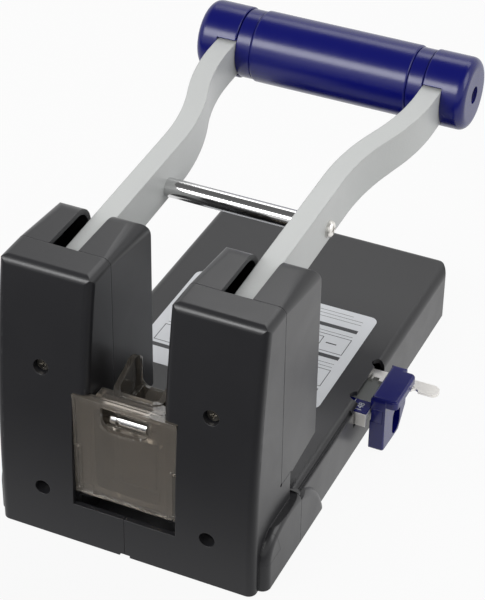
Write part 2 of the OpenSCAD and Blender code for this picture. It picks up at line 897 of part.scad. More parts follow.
module guide_knob() {
    difference() {
        union() {
            across(guide_stop_x, guide_stop_x + knob_t) difference() {
                round_rect([knob_y[0], knob_z[0]], [knob_y[1], knob_z[1]], [2, 0, 1.5, 2]);
                polygon([[knob_y[1] - 9, 0], [knob_y[1] + 1, 12], [knob_y[1] + 1, 0]]);
            }
            translate([0, 0, knob_head_z]) linear_extrude(knob_z[1] - knob_head_z)
                round_rect([guide_stop_x, knob_head_y[0]], [guide_stop_x + knob_head_w, knob_head_y[1]],
                    [0.5, 2.5, 2.5, 0.5]);
        }
        // Hollow for a finger tip
        across(guide_stop_x + 4, big) translate(finger_at) rotate(90) stadium([0, 0], 6, 5);
        // Seat on the bar
        block([guide_stop_x - 1, guide_y[0], 18], [guide_stop_x + 6.02, guide_y[1] + 1, bar_top]);
        block([guide_stop_x - 1, strip_y - 0.1, bar_top - bar_t], [big, guide_y[1] + 1, bar_top]);
    }
}

// Colours
black = [0.07, 0.07, 0.08];
grey = [0.78, 0.79, 0.78];
blue = [0.07, 0.08, 0.42];
steel = [0.72, 0.72, 0.70];
dark_steel = [0.35, 0.35, 0.36];
smoke = [0.42, 0.36, 0.30, 0.6];

color(black) seat() base_shell();
color(dark_steel) seat() bottom_plate();
color(steel) seat() base_screws();
color("dimgray") seat() foot_strips();
color(black) seat() left() cover();  // cover_left
color(black) seat() cover();  // cover_right
color(steel) seat()  // cover_screws
    for (s = [0, 1]) mirror([s, 0, 0]) for (z = screw_z) cover_screw(z);
color(black) seat() left() housing();  // housing_left
color(black) seat() housing();  // housing_right
color(dark_steel) seat() left() frame();  // frame_left
color(dark_steel) seat() frame();  // frame_right
color(steel) seat()  // lever_shafts
    for (s = [0, 1]) mirror([s, 0, 0]) lever_shaft();
color(steel) seat() left() punch_guide();  // punch_guide_left
color(steel) seat() punch_guide();  // punch_guide_right
color(steel) seat() left() die();  // die_left
color(steel) seat() die();  // die_right
color(dark_steel) seat() paper_stop();
color(steel) seat() left() spring();  // spring_left
color(steel) seat() spring();  // spring_right
color(smoke) seat() storage_box();
color(steel) seat() spare_pin();
color(grey) seat() left() arm();  // arm_left
color(grey) seat() arm();  // arm_right
color("peru") seat()  // arm_bushes
    for (s = [0, 1]) mirror([s, 0, 0]) arm_bush();
color(steel) seat()  // drive_pins
    for (s = [0, 1]) mirror([s, 0, 0]) drive_pin();
color(steel) seat() crossbar();
color(steel) seat()  // crossbar_screws
    for (s = [0, 1]) mirror([s, 0, 0]) crossbar_screw();
color(blue) seat() grip();
color(blue) seat()  // grip_rings
    for (s = [0, 1]) mirror([s, 0, 0]) grip_ring();
color(blue) seat() left() cap();  // cap_left
color(blue) seat() cap();  // cap_right
color(steel) seat()  // cap_screws
    for (s = [0, 1]) mirror([s, 0, 0]) cap_screw();
color(steel) seat() grip_rod();
color(dark_steel) seat() left() ram();  // ram_left
color(dark_steel) seat() ram();  // ram_right
color(steel) seat() left() punch();  // punch_left
color(steel) seat() punch();  // punch_right
color(steel) seat() guide_bar();
color("gray") seat() guide_carrier();
color(blue) seat() guide_scale();
color(blue) seat() guide_knob();
color(smoke) seat() storage_door();
color(black) seat() chip_drawer();
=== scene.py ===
# %% [markdown]
# # A heavy duty hole punch, dressed in Blender
# This file is a lesson in cells. The imported CAD model gives the shapes that must not change,
# and each cell adds something a solid model can't say: how a surface takes the light, where
# an edge is rubbed bright, how a soft moulded corner looks.
# The first cell brings in the CAD model.

# %% Bring in the CAD model
import json
import math

import bmesh
import bpy
from mathutils import Matrix, Vector

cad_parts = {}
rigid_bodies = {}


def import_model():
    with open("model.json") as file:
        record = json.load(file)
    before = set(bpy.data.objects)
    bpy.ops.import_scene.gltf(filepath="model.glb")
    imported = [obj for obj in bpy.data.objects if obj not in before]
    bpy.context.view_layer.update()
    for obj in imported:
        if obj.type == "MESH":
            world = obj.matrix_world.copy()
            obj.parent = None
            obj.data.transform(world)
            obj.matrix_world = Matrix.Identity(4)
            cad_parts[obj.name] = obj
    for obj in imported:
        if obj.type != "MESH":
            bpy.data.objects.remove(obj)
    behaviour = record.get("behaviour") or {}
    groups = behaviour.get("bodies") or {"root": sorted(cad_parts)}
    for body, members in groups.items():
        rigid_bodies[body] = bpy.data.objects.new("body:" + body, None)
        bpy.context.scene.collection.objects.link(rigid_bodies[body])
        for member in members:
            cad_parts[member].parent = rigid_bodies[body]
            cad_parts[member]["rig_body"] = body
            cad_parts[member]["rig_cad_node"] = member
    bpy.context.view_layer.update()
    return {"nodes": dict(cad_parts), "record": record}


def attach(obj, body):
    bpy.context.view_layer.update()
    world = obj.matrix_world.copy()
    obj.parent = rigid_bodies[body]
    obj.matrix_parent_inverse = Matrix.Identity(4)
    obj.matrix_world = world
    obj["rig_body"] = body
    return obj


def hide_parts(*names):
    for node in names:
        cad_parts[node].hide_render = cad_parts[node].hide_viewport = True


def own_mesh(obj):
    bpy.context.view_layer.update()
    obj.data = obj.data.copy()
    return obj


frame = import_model()
cad = frame["nodes"]

# %% [markdown]
# Sizes on the drawing of this punch are in millimetres, and depths are taken from the rear
# face. The model's own frame has its origin under the punch pins, 52 mm further in. One
# small helper turns a place on the drawing into a place in Blender, so that the numbers
# below can be read against the drawing. The other one clears the selection.

# %% From the drawing to Blender
MM = 0.001
PUNCH_LINE = 52.0


def place(x, depth, height):
    """A point of the drawing, in millimetres, as a point in Blender, in metres."""
    return Vector((x * MM, (depth - PUNCH_LINE) * MM, height * MM))


def nothing_selected():
    """Operators act on all that is selected, so every new piece starts from nothing."""
    bpy.ops.object.select_all(action="DESELECT")


nothing_selected()
print("punch line at", place(0, PUNCH_LINE, 0))

# %% [markdown]
# ## The camera
# The photograph was taken from behind the towers, a little to the right and well above. Its
# long lens was worked out from straight edges that run away from us: lines that are parallel
# on the punch come together slowly, so the lens is long and the camera stands far off.
# The camera's three axes are written as columns of a matrix: right, up and backwards.
# The view transform is Standard, so that a colour comes out about as it is written.

# %% Camera
VIEW_TURN, VIEW_HEIGHT, VIEW_ROLL = 0.42127, 0.62230, 0.01572
CAMERA_AT, LENS, SEES_TO = (0.32603, -0.65556, 0.63339), 124.38, 20
back = Vector((
    math.sin(VIEW_TURN) * math.cos(VIEW_HEIGHT),
    -math.cos(VIEW_TURN) * math.cos(VIEW_HEIGHT),
    math.sin(VIEW_HEIGHT),
))
level = Vector((math.cos(VIEW_TURN), math.sin(VIEW_TURN), 0))
upward = back.cross(level)
right = level * math.cos(VIEW_ROLL) + upward * math.sin(VIEW_ROLL)
top = upward * math.cos(VIEW_ROLL) - level * math.sin(VIEW_ROLL)
lens_data = bpy.data.cameras.new("product_lens")
lens_data.lens, lens_data.clip_end = LENS, SEES_TO
camera = bpy.data.objects.new("product_camera", lens_data)
turn = Matrix((right, top, back)).transposed().to_4x4()
camera.matrix_world = Matrix.Translation(CAMERA_AT) @ turn
bpy.context.scene.collection.objects.link(camera)
bpy.context.scene.camera = camera
bpy.context.scene.view_settings.view_transform = "Standard"
print("camera stands", round(camera.location.length, 3), "m from the punch line")

# %% [markdown]
# ## Helpers for nodes
# A material, a world and a shared effect are all trees of nodes. Each helper makes one node
# and wires what goes into it. A value is a number or the output of another node.

# %% Helpers for nodes
WHITE = (1, 1, 1, 1)


def material_tree(name):
    """A new material with an empty node tree."""
    made = bpy.data.materials.new(name)
    made.use_nodes = True
    made.node_tree.nodes.clear()
    return made, made.node_tree


def add_node(tree, kind, at, **settings):
    """A node with its settings; a setting named by a socket is written to that input."""
    made = tree.nodes.new(kind)
    made.location = at
    for key, value in settings.items():
        if hasattr(made, key):
            setattr(made, key, value)
        else:
            made.inputs[key.replace("_", " ")].default_value = value
    return made


def feed(tree, value, socket):
    """Write a number to an input, or link the output of another node to it."""
    if isinstance(value, bpy.types.NodeSocket):
        tree.links.new(value, socket)
    else:
        socket.default_value = value


def maths(tree, operation, at, *values, **settings):
    """The result of one operation on some values."""
    made = add_node(tree, "ShaderNodeMath", at, operation=operation, **settings)
    for value, socket in zip(values, made.inputs):
        feed(tree, value, socket)
    return made.outputs[0]


def map_range(tree, value, at, given, wanted=(0, 1), **settings):
    """A value, carried over from the given range to the wanted one."""
    made = add_node(tree, "ShaderNodeMapRange", at, **settings)
    labels = ("Value", "From Min", "From Max", "To Min", "To Max")
    for label, number in zip(labels, (value, *given, *wanted)):
        feed(tree, number, made.inputs[label])
    return made.outputs["Result"]


def blend(tree, share, at, first, second):
    """A colour between two, by a share of the second."""
    made = add_node(tree, "ShaderNodeMix", at, data_type="RGBA")
    made.inputs["A"].default_value = (*first, 1)
    made.inputs["B"].default_value = (*second, 1)
    tree.links.new(share, made.inputs["Factor"])
    return made.outputs["Result"]


def surface_place(tree, at=(-900, 250)):
    """Object coordinates: every piece sits unturned at the origin, so these are metres."""
    return add_node(tree, "ShaderNodeTexCoord", at).outputs["Object"]


print("node helpers ready")

# %% [markdown]
# ## Floor and light
# The photograph has a white ground with only a breath of shadow. The floor is a large plain
# sheet. A camera ray that meets it sees mostly plain white and a little of the real shaded
# surface, so the shadow stays but is faint. Rays through clear plastic see the same.
#
# Mirror rays tell us more about the room. The faces that look to the side mirror the ground
# beyond the punch, and are pale. The faces that look to the camera mirror the ground in
# front of them, and are nearly black: the paper ended there, and the table was dark. So the
# sheet turns dark on the camera's side for the rays that a surface mirrors or scatters.

# %% Floor
FLOOR_SIZE, FLOOR_LEVEL = 8, -0.0002
FLOOR_SHOWS_WHITE, MIRRORS_SHOW_WHITE = 0.93, 0.9
PAPER_EDGE = (-0.16, 0.06)
DARK_TABLE, LIT_PAPER = (0.10, 0.10, 0.10), (0.62, 0.62, 0.62)
floor_paper, tree = material_tree("floor_paper")
split = add_node(tree, "ShaderNodeSeparateXYZ", (-1300, 0))
tree.links.new(surface_place(tree, (-1500, 0)), split.inputs[0])
on_paper = map_range(tree, split.outputs["Y"], (-1100, 0), PAPER_EDGE,
                     (0, MIRRORS_SHOW_WHITE), interpolation_type="SMOOTHSTEP")

ray = add_node(tree, "ShaderNodeLightPath", (-1100, 500)).outputs
mirrored = maths(tree, "MULTIPLY", (-900, 300), ray["Is Glossy Ray"], on_paper)
seen = maths(tree, "MAXIMUM", (-700, 500), ray["Is Camera Ray"], ray["Is Transmission Ray"])
seen = maths(tree, "MAXIMUM", (-520, 400), seen, mirrored)
shown = maths(tree, "MULTIPLY", (-340, 300), seen, FLOOR_SHOWS_WHITE)

paper_tone = blend(tree, on_paper, (-700, -100), DARK_TABLE, LIT_PAPER)
paper = add_node(tree, "ShaderNodeBsdfDiffuse", (-300, 100))
tree.links.new(paper_tone, paper.inputs["Color"])
glow = add_node(tree, "ShaderNodeEmission", (-300, -60), Color=WHITE, Strength=1.0)
mix = add_node(tree, "ShaderNodeMixShader", (-60, 100))
for value, socket in zip((shown, paper.outputs[0], glow.outputs[0]), mix.inputs):
    tree.links.new(value, socket)
out = add_node(tree, "ShaderNodeOutputMaterial", (140, 100))
tree.links.new(mix.outputs[0], out.inputs["Surface"])

bpy.ops.mesh.primitive_plane_add(size=FLOOR_SIZE, location=(0, 0, FLOOR_LEVEL))
floor = bpy.context.object
floor.name = "floor"
floor.data.materials.append(floor_paper)
print("floor:", floor.name)

# %% [markdown]
# The world is the room: pale all round at the height of the eye and dark overhead, as a
# studio is above its lamps. That difference gives the glossy handle its depth and the chrome
# its dark bands. The main soft lamp stands beside the camera, a little higher, where it
# draws the long highlight along the handle and the thin bright line along the rounded top of
# each cover. Its place follows from the mirror rule: the highlight lies where the handle's
# surface faces half way between the eye and the lamp. A weaker lamp stands on the right and
# a broad one beyond the handle, which lights what faces up.

# %% World and lamps
SKY_FADES, SKY_STRENGTH = (0.5, 0.9), (0.85, 0.15)
room = bpy.data.worlds.new("white_room")
bpy.context.scene.world = room
room.use_nodes = True
tree = room.node_tree
tree.nodes.clear()
where = add_node(tree, "ShaderNodeTexCoord", (-900, 0))
split = add_node(tree, "ShaderNodeSeparateXYZ", (-700, 0))
tree.links.new(where.outputs["Generated"], split.inputs[0])
fade = map_range(tree, split.outputs["Z"], (-500, 0), SKY_FADES, SKY_STRENGTH,
                 interpolation_type="SMOOTHSTEP")
sky = add_node(tree, "ShaderNodeBackground", (-200, 0), Color=WHITE)
tree.links.new(fade, sky.inputs["Strength"])
out = add_node(tree, "ShaderNodeOutputWorld", (40, 0))
tree.links.new(sky.outputs[0], out.inputs["Surface"])


def soft_lamp(name, at, aim, width, height, watts):
    """A softbox: a rectangle of light at a place, aimed at a point."""
    lamp = bpy.data.lights.new(name, "AREA")
    lamp.shape = "RECTANGLE"
    lamp.size, lamp.size_y, lamp.energy = width, height, watts
    holder = bpy.data.objects.new(name, lamp)
    holder.location = at
    aimed = Vector(aim) - Vector(at)
    holder.rotation_euler = aimed.to_track_quat("-Z", "Y").to_euler()
    bpy.context.scene.collection.objects.link(holder)


PUNCH_MIDDLE = (0, 0.06, 0.07)
soft_lamp("key_softbox", (-0.38, -0.80, 0.80), PUNCH_MIDDLE, 0.9, 0.42, 9.0)
soft_lamp("right_softbox", (1.15, 0.25, 0.75), PUNCH_MIDDLE, 0.7, 0.9, 5.0)
soft_lamp("far_softbox", (0.0, 1.05, 1.2), PUNCH_MIDDLE, 1.2, 0.45, 4.0)

# %% [markdown]
# ## Shared surface effects
# Several finishes need the same small truths: a moulding has a fine eroded grain, every
# handled thing has faint smears, and outer edges are rubbed; on the clear plastic the same
# edge mask paints a pale highlight. Each effect is one node group with named inputs, built
# once. The groups give out only numbers that change over the surface; the shader itself
# stays in each material.

# %% A helper for node groups
def new_group(name, gives, **inputs):
    """A shader node group of numbers: what it gives, and its inputs with their values."""
    group = bpy.data.node_groups.new(name, "ShaderNodeTree")
    for label, value in inputs.items():
        made = group.interface.new_socket(label, in_out="INPUT", socket_type="NodeSocketFloat")
        made.default_value = value
    group.interface.new_socket(gives, in_out="OUTPUT", socket_type="NodeSocketFloat")
    taken = add_node(group, "NodeGroupInput", (-900, 0))
    given = add_node(group, "NodeGroupOutput", (700, 0))
    return group, taken, given


print("group helper ready")

# %% [markdown]
# **Grain.** The steel mould of a plastic part is etched, which leaves a fine pebbled skin.
# Pebbles are cells of a Voronoi texture, broken up by noise. `Pebble` is the size of one
# pebble in millimetres, so the grain has its real scale on every part.

# %% Grain group
grain, taken, given = new_group("moulded_grain", "Height", Pebble=0.35)
per_metre = maths(grain, "DIVIDE", (-700, 0), 1 / MM, taken.outputs["Pebble"])
spot = surface_place(grain)
cells = add_node(grain, "ShaderNodeTexVoronoi", (-450, 150), feature="SMOOTH_F1", Smoothness=0.6)
cloud = add_node(grain, "ShaderNodeTexNoise", (-450, -150), Detail=3.0, Roughness=0.6)
for texture in (cells, cloud):
    grain.links.new(spot, texture.inputs["Vector"])
    grain.links.new(per_metre, texture.inputs["Scale"])
both = maths(grain, "ADD", (-150, 50), cells.outputs["Distance"], cloud.outputs["Fac"])
grain.links.new(both, given.inputs["Height"])
print(grain.name, [s.name for s in grain.interface.items_tree])

# %% [markdown]
# **Smears.** Fingers leave broad soft patches that are a little glossier or duller. Noise
# makes a slow patchwork between two values, and the material uses it as its roughness.

# %% Smear group
CLOUD_SPREADS = (0.3, 0.7)
smears, taken, given = new_group("handling_smears", "Value", Patch=30.0, From=0.35, To=0.45)
per_metre = maths(smears, "DIVIDE", (-700, 0), 1 / MM, taken.outputs["Patch"])
cloud = add_node(smears, "ShaderNodeTexNoise", (-450, 100),
                 Detail=6.0, Roughness=0.62, Distortion=0.6)
smears.links.new(surface_place(smears), cloud.inputs["Vector"])
smears.links.new(per_metre, cloud.inputs["Scale"])
patches = map_range(smears, cloud.outputs["Fac"], (-150, 100), CLOUD_SPREADS,
                    (taken.outputs["From"], taken.outputs["To"]))
smears.links.new(patches, given.inputs["Value"])
print(smears.name, [s.name for s in smears.interface.items_tree])

# %% [markdown]
# ** Rubbed edges and painted edge sheen.** The Bevel node looks a short way round each point.
# Where its normal leans away from the true one we are at an edge. Noise breaks the line up,
# so that the rub comes and goes as it does on a used tool. On most finishes the mask is
# wear; on the clear smoky plastic it paints a pale highlight along the edges.

# %% Rubbed edge and painted sheen group
FLAT_TO_EDGE, CLOUD_TO_PATCH = (0.995, 0.8), (0.42, 0.6)
rub_and_sheen_group, taken, given = new_group("rub_and_sheen_edges", "Mask", Reach=0.5, Amount=0.5)
reach = maths(rub_and_sheen_group, "MULTIPLY", (-700, -50), taken.outputs["Reach"], MM)
rounded = add_node(rub_and_sheen_group, "ShaderNodeBevel", (-520, -50), samples=4)
rub_and_sheen_group.links.new(reach, rounded.inputs["Radius"])
true_face = add_node(rub_and_sheen_group, "ShaderNodeNewGeometry", (-520, -250))
lean = add_node(rub_and_sheen_group, "ShaderNodeVectorMath", (-320, -100), operation="DOT_PRODUCT")
rub_and_sheen_group.links.new(rounded.outputs["Normal"], lean.inputs[0])
rub_and_sheen_group.links.new(true_face.outputs["Normal"], lean.inputs[1])
edge = map_range(rub_and_sheen_group, lean.outputs["Value"], (-130, -100), FLAT_TO_EDGE)
cloud = add_node(rub_and_sheen_group, "ShaderNodeTexNoise", (-320, 200), Scale=220.0, Detail=5.0)
rub_and_sheen_group.links.new(surface_place(rub_and_sheen_group), cloud.inputs["Vector"])
patchy = map_range(rub_and_sheen_group, cloud.outputs["Fac"], (-130, 200), CLOUD_TO_PATCH)
broken = maths(rub_and_sheen_group, "MULTIPLY", (80, 50), edge, patchy)
amount = maths(rub_and_sheen_group, "MULTIPLY", (280, 50), broken, taken.outputs["Amount"], use_clamp=True)
rub_and_sheen_group.links.new(amount, given.inputs["Mask"])
print(rub_and_sheen_group.name, [s.name for s in rub_and_sheen_group.interface.items_tree])

# %% [markdown]
# **Brush lines.** Rolled and ground steel carries fine lines that all run one way. Noise
# that is squeezed hard along two axes and left long in the third gives them.

# %% Brush line group
brushed, taken, given = new_group("brush_lines", "Lines", Along=30.0, Across=2500.0)
squeeze = add_node(brushed, "ShaderNodeCombineXYZ", (-650, -50))
for axis, label in enumerate(("Along", "Across", "Across")):
    brushed.links.new(taken.outputs[label], squeeze.inputs[axis])
stretched = add_node(brushed, "ShaderNodeVectorMath", (-450, 50), operation="MULTIPLY")
brushed.links.new(surface_place(brushed), stretched.inputs[0])
brushed.links.new(squeeze.outputs[0], stretched.inputs[1])
lines = add_node(brushed, "ShaderNodeTexNoise", (-230, 50), Scale=1.0, Detail=3.0, Roughness=0.7)
brushed.links.new(stretched.outputs[0], lines.inputs["Vector"])
brushed.links.new(lines.outputs["Fac"], given.inputs["Lines"])
print(brushed.name, [s.name for s in brushed.interface.items_tree])

# %% [markdown]
# ## The finishes
# Each finish starts from one Principled shader. The helper wires the shared groups to it:
# a base colour that the rubbed edges lighten (on the clear plastic this is a painted edge
# highlight), a roughness that the smears move, and a bump from the grain whose edges are
# softened by a Bevel node, as no moulded edge is razor sharp.
# Numbers that are the same all over stay on the shader's own sockets.

# %% A helper for finishes
finishes = {}


def group_node(tree, group, at, **values):
    """A shared group placed in a material with its own values."""
    made = add_node(tree, "ShaderNodeGroup", at)
    made.node_tree = group
    for key, value in values.items():
        made.inputs[key].default_value = value
    return made


def finish(name, colour, rough, worn_and_sheen_colour, wear_and_sheen, pebble, bump, round_edge, patch,
           shader=None, shade=0.0, reach=0.5):
    """A finish for one kind of material. Lengths are in millimetres."""
    made, tree = material_tree(name)
    body = add_node(tree, "ShaderNodeBsdfPrincipled", (300, 0))
    out = add_node(tree, "ShaderNodeOutputMaterial", (600, 0))
    tree.links.new(body.outputs[0], out.inputs["Surface"])
    for key, value in (shader or {}).items():
        body.inputs[key].default_value = value
    smear = group_node(tree, smears, (-300, 100), Patch=patch, From=rough[0], To=rough[1])
    tree.links.new(smear.outputs["Value"], body.inputs["Roughness"])
    # the edge mask lightens the colour: wear on most finishes, a painted edge highlight on the
    # smoky plastic
    edge = group_node(tree, rub_and_sheen_group, (-300, 350), Amount=wear_and_sheen, Reach=reach)
    tint = blend(tree, edge.outputs["Mask"], (0, 300), colour, worn_and_sheen_colour)
    if shade:
        cloud = add_node(tree, "ShaderNodeTexNoise", (-300, 600), Scale=45.0, Detail=4.0)
        tree.links.new(surface_place(tree, (-500, 600)), cloud.inputs["Vector"])
        tone = map_range(tree, cloud.outputs["Fac"], (-100, 600), (0, 1), (1 - shade, 1 + shade))
        toned = add_node(tree, "ShaderNodeVectorMath", (150, 450), operation="SCALE")
        tree.links.new(tint, toned.inputs[0])
        tree.links.new(tone, toned.inputs["Scale"])
        tint = toned.outputs[0]
    tree.links.new(tint, body.inputs["Base Color"])
    pebbles = group_node(tree, grain, (-300, -150), Pebble=pebble)
    soft = add_node(tree, "ShaderNodeBevel", (-300, -350), Radius=round_edge * MM, samples=6)
    skin = add_node(tree, "ShaderNodeBump", (0, -200), Distance=bump * MM, Strength=1.0)
    tree.links.new(pebbles.outputs["Height"], skin.inputs["Height"])
    tree.links.new(soft.outputs["Normal"], skin.inputs["Normal"])
    tree.links.new(skin.outputs["Normal"], body.inputs["Normal"])
    finishes[name] = made
    return tree, body


print("finish helper ready")

# %% [markdown]
# **Black covers.** The covers and the base are satin black plastic with an etched grain.
# Black plastic is never a pure black in a white room: the colour itself is very dark and
# the grey that we see is the room, mirrored softly by the grain.

# %% Black plastic
finish("black_plastic", (0.016, 0.016, 0.018), (0.28, 0.36), (0.05, 0.05, 0.053), wear_and_sheen=0.35,
       pebble=0.42, bump=0.008, round_edge=0.5, patch=35)
print("finish:", finishes["black_plastic"].name)

# %% [markdown]
# **Painted arms.** The arms carry a light grey powder coat: a satin paint with a soft
# orange-peel surface and rounded edges, and a thin clear gloss on top.

# %% Grey paint
finish("grey_paint", (0.50, 0.512, 0.505), (0.34, 0.46), (0.68, 0.68, 0.67), wear_and_sheen=0.3,
       pebble=1.1, bump=0.03, round_edge=0.8, patch=45,
       shader={"Coat Weight": 0.08, "Coat Roughness": 0.3}, shade=0.03)
print("finish:", finishes["grey_paint"].name)

# %% [markdown]
# **Blue handle.** The grip, its end caps and the guide's knob are glossy navy plastic. The
# gloss comes from a smooth surface with the faint waviness of a hand-wiped moulding, and its
# colour from a very deep base.

# %% Blue plastic
finish("blue_plastic", (0.001, 0.0025, 0.115), (0.20, 0.28), (0.02, 0.025, 0.2), wear_and_sheen=0.3,
       pebble=0.8, bump=0.006, round_edge=0.45, patch=28)
print("finish:", finishes["blue_plastic"].name)

# %% [markdown]
# ** Smoky plastic.** The storage door and its box are clear brown-grey plastic, a couple of
# millimetres thick. Transmission lets the light through, the colour is a weak tea brown,
# and the share that isn't transmitted keeps it from vanishing against the black recess.
# Its edges are painted a pale cream over a wide reach: a painted highlight that stands for
# the light that clear edges carry.

# %% Smoky plastic
# the pale cream edge colour, with a high amount and a wide reach, paints a highlight along the
# edges
finish("smoky_plastic", (0.44, 0.40, 0.35), (0.03, 0.07), (0.85, 0.82, 0.76), wear_and_sheen=0.9,
       pebble=2.5, bump=0.01, round_edge=0.3, patch=12, reach=0.9,
       shader={"Transmission Weight": 0.88, "IOR": 1.47})
print("finish:", finishes["smoky_plastic"].name)

# %% [markdown]
# ** Metals.** Chrome on the crossbar and the spare pin is a near mirror. The screws, pins
# and the guide bar are zinc-bright steel with brush lines in their roughness. The frames
# inside are plain oiled sheet steel, and the bushes are turned brass. The screws deep in the
# covers get a dark metal colour, and the edges of their cross slots a paler warm one.

# %% Metals
METAL = {"Metallic": 1.0}
WORN_IS_LIGHTER, LINES_ROUGHEN = 1.3, 0.25
finish("chrome", (0.70, 0.70, 0.70), (0.06, 0.13), (0.85, 0.85, 0.85), wear_and_sheen=0.2,
       pebble=3.0, bump=0.004, round_edge=0.2, patch=9, shader=METAL)
finish("bush_brass", (0.70, 0.50, 0.24), (0.25, 0.4), (0.8, 0.62, 0.36), wear_and_sheen=0.4,
       pebble=0.3, bump=0.004, round_edge=0.2, patch=6, shader=METAL)
for name, colour, rough in (("bright_steel", (0.90, 0.88, 0.84), (0.2, 0.34)),
                            ("dark_steel", (0.25, 0.25, 0.26), (0.32, 0.5))):
    worn = tuple(min(1, WORN_IS_LIGHTER * c) for c in colour)
    tree, body = finish(name, colour, rough, worn, wear_and_sheen=0.5, pebble=0.6, bump=0.003,
                        round_edge=0.15, patch=10, shader=METAL)
    lines = group_node(tree, brushed, (-300, -550)).outputs["Lines"]
    smear = body.inputs["Roughness"].links[0].from_socket
    roughness = maths(tree, "MULTIPLY_ADD", (0, -500), lines, LINES_ROUGHEN, smear)
    tree.links.new(roughness, body.inputs["Roughness"])
# a dark metal colour for the cover screws, with paler warm edges on their cross slots
finish("dark_screw", (0.16, 0.15, 0.135), (0.22, 0.36), (0.6, 0.55, 0.45), wear_and_sheen=0.9,
       pebble=0.5, bump=0.003, round_edge=0.15, patch=8, shader=METAL)
print("finishes with the metals:", list(finishes))

# %% [markdown]
# **Rubber and grey plastic.** The foot strips are dull black rubber. The slide inside the
# guide opening is a plain grey moulding.

# %% Rubber and grey plastic
finish("foot_rubber", (0.02, 0.02, 0.02), (0.7, 0.85), (0.05, 0.05, 0.05), wear_and_sheen=0.4,
       pebble=0.5, bump=0.03, round_edge=0.4, patch=15)
finish("grey_plastic", (0.28, 0.29, 0.28), (0.42, 0.52), (0.34, 0.35, 0.34), wear_and_sheen=0.4,
       pebble=0.5, bump=0.015, round_edge=0.3, patch=20)
print("finishes:", sorted(finishes))

# %% [markdown]
# ## Dress the CAD nodes
# The record says which finish each node has. Every node gets its finish here, and pieces
# that are modelled further down take theirs from the same table.

# %% Give every node its finish
slot_of = {part["node"]: part["material_slot"] for part in frame["record"]["subparts"]}
for name, node_object in cad.items():
    node_object.data.materials.clear()
    node_object.data.materials.append(finishes[slot_of[name]])
# the cover screws take the dark screw finish in place of their record's slot
cad["cover_screws"].data.materials[0] = finishes["dark_screw"]
print("dressed", len(cad), "nodes")

# %% [markdown]
# ## Pieces with truly soft edges
# A Bevel node only bends the light. Where an edge is seen against the white floor, as on
# the arms and the knob, the outline itself must be round. A copy of the CAD mesh is merged,
# its flat triangles are dissolved into whole faces, and a Bevel modifier rounds every edge
# that is sharper than a limit. The copy then stands for its CAD node.

# %% Helpers that take a copy of a CAD node
MERGED_WITHIN = 0.002 * MM
FLAT_WITHIN, SMOOTH_WITHIN = math.radians(0.3), math.radians(30)


def active_only(piece):
    """Select one object and make it the active one."""
    nothing_selected()
    piece.select_set(True)
    bpy.context.view_layer.objects.active = piece


def settle(piece, name, body, slot):
    """Finish a piece: its place goes into its mesh, and it takes its finish and its body."""
    active_only(piece)
    bpy.ops.object.transform_apply(location=True, rotation=True, scale=True)
    piece.name = name
    piece.data.materials.clear()
    piece.data.materials.append(finishes[slot])
    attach(piece, body)


def whole_faces():
    """Dissolve the flat triangles of the active piece into whole faces."""
    bpy.ops.object.mode_set(mode="EDIT")
    bpy.ops.mesh.select_all(action="SELECT")
    bpy.ops.mesh.dissolve_limited(angle_limit=FLAT_WITHIN)
    bpy.ops.object.mode_set(mode="OBJECT")


def round_edges(piece, radius, segments, sharper_than):
    """Round the edges of the active piece that are sharper than a limit in degrees."""
    rounding = piece.modifiers.new("round_edges", "BEVEL")
    rounding.width, rounding.segments = radius * MM, segments
    rounding.limit_method, rounding.angle_limit = "ANGLE", math.radians(sharper_than)
    bpy.ops.object.modifier_apply(modifier=rounding.name)
    bpy.ops.object.shade_smooth_by_angle(angle=SMOOTH_WITHIN)


def softened(node_name, body, radius, sharper_than=35, segments=3, reshape=None):
    """A copy of a CAD node with round edges, radius in millimetres."""
    active_only(cad[node_name])
    bpy.ops.object.duplicate()
    copy = bpy.context.object
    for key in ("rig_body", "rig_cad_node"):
        if key in copy:
            del copy[key]
    copy.parent = None
    bpy.ops.object.mode_set(mode="EDIT")
    bpy.ops.mesh.select_all(action="SELECT")
    bpy.ops.mesh.remove_doubles(threshold=MERGED_WITHIN)
    bpy.ops.mesh.customdata_custom_splitnormals_clear()
    bpy.ops.object.mode_set(mode="OBJECT")
    if reshape:
        reshape(copy)
        active_only(copy)
    whole_faces()
    round_edges(copy, radius, segments, sharper_than)
    flat_faces = copy.modifiers.new("flat_faces_stay_flat", "WEIGHTED_NORMAL")
    flat_faces.keep_sharp = True
    bpy.ops.object.modifier_apply(modifier=flat_faces.name)
    settle(copy, "soft_" + node_name, body, slot_of[node_name])
    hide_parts(node_name)
    print(copy.name, len(copy.data.vertices), "vertices")
    return copy


print("softening helper ready")

# %% [markdown]
# Some copies also change their form before their edges are rounded. They are cut with
# blocks, and single edges or corners are picked by a test. A place counts as touched when
# it is nearer than a twentieth of a millimetre.

# %% Helpers that reshape a copy
TOUCH = 0.05 * MM


def block_between(low, high):
    """A cube primitive between two corners of the drawing."""
    nothing_selected()
    middle = [(a + b) / 2 for a, b in zip(low, high)]
    bpy.ops.mesh.primitive_cube_add(size=1, location=place(*middle))
    block = bpy.context.object
    block.scale = [(b - a) * MM for a, b in zip(low, high)]
    bpy.ops.object.transform_apply(location=True, rotation=True, scale=True)
    return block


def combine(piece, tool, operation):
    """Cut a tool shape out of a piece, or join it on, and remove the tool."""
    active_only(piece)
    step = piece.modifiers.new("step", "BOOLEAN")
    step.object, step.operation, step.solver = tool, operation, "EXACT"
    bpy.ops.object.modifier_apply(modifier=step.name)
    active_only(tool)
    bpy.ops.object.delete()
    active_only(piece)


